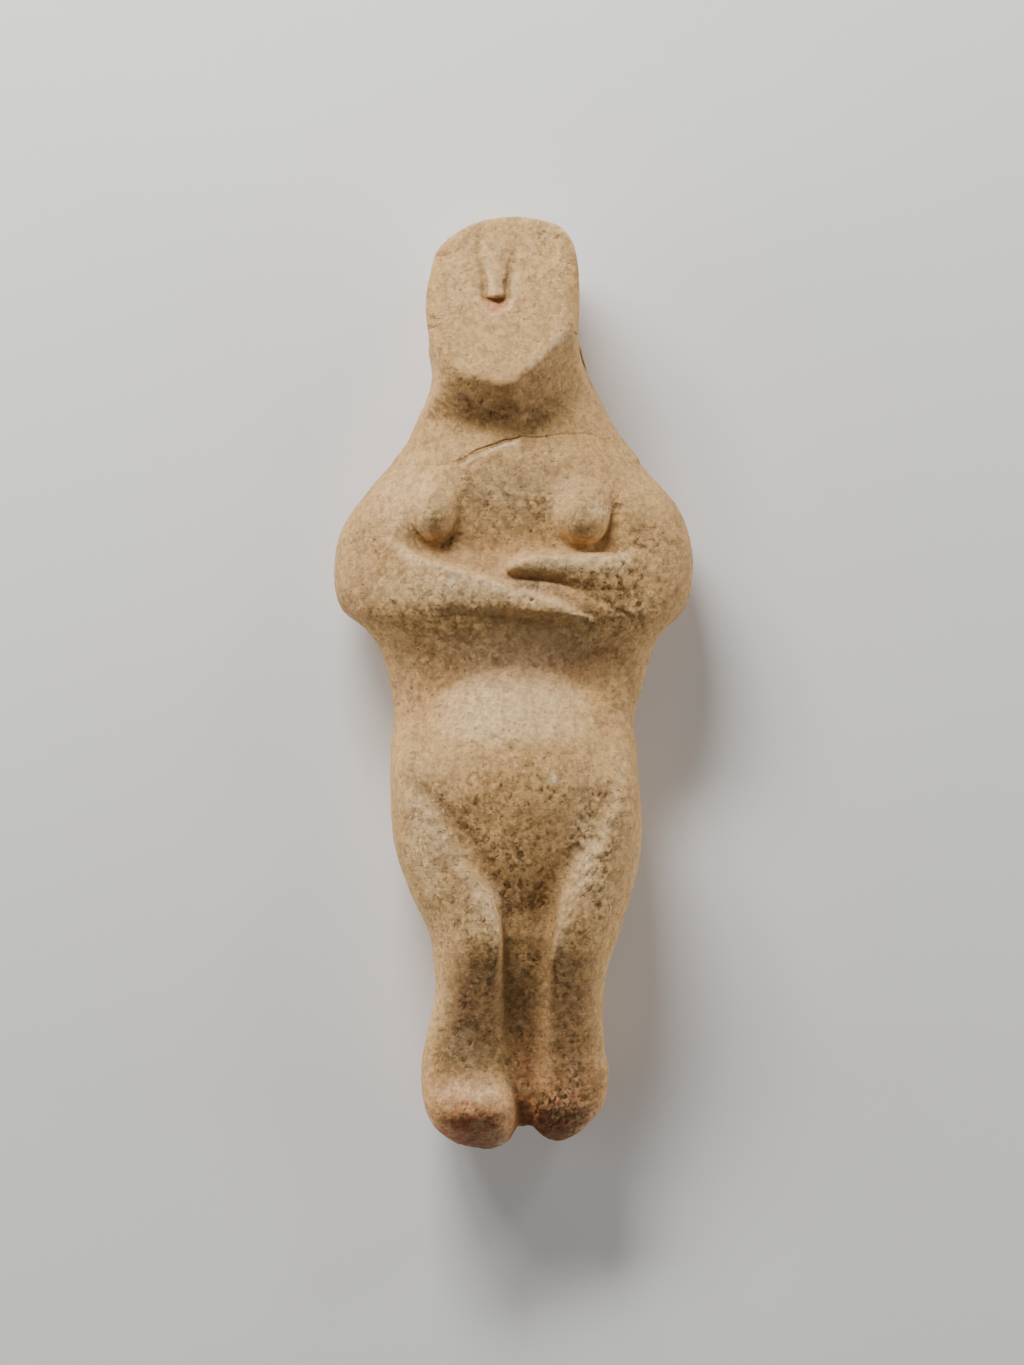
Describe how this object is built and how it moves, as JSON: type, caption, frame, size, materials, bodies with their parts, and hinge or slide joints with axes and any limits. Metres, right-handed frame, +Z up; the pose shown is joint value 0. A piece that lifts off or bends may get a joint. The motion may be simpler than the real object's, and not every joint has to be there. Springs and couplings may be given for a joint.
{
  "type": "cycladic figurine",
  "caption": "Small folded-arm marble figurine with a flat tilted face, lying on its back on its upper back and seat.",
  "frame": {"origin": "under the middle of the figurine's box as it lies on its back, at the level of the flats it rests on", "axes": "+Z up out of its front, +Y towards its head, +X to the right of someone who faces it"},
  "size_m": [0.0848, 0.2196, 0.039],
  "materials": {
    "marble": "matt weathered marble, warm beige, rough crystalline grain where worn and smooth where rubbed, with reddish-brown deposits low on the feet"
  },
  "bodies": {
    "root": {"figurine": "marble"}
  },
  "joints": []
}
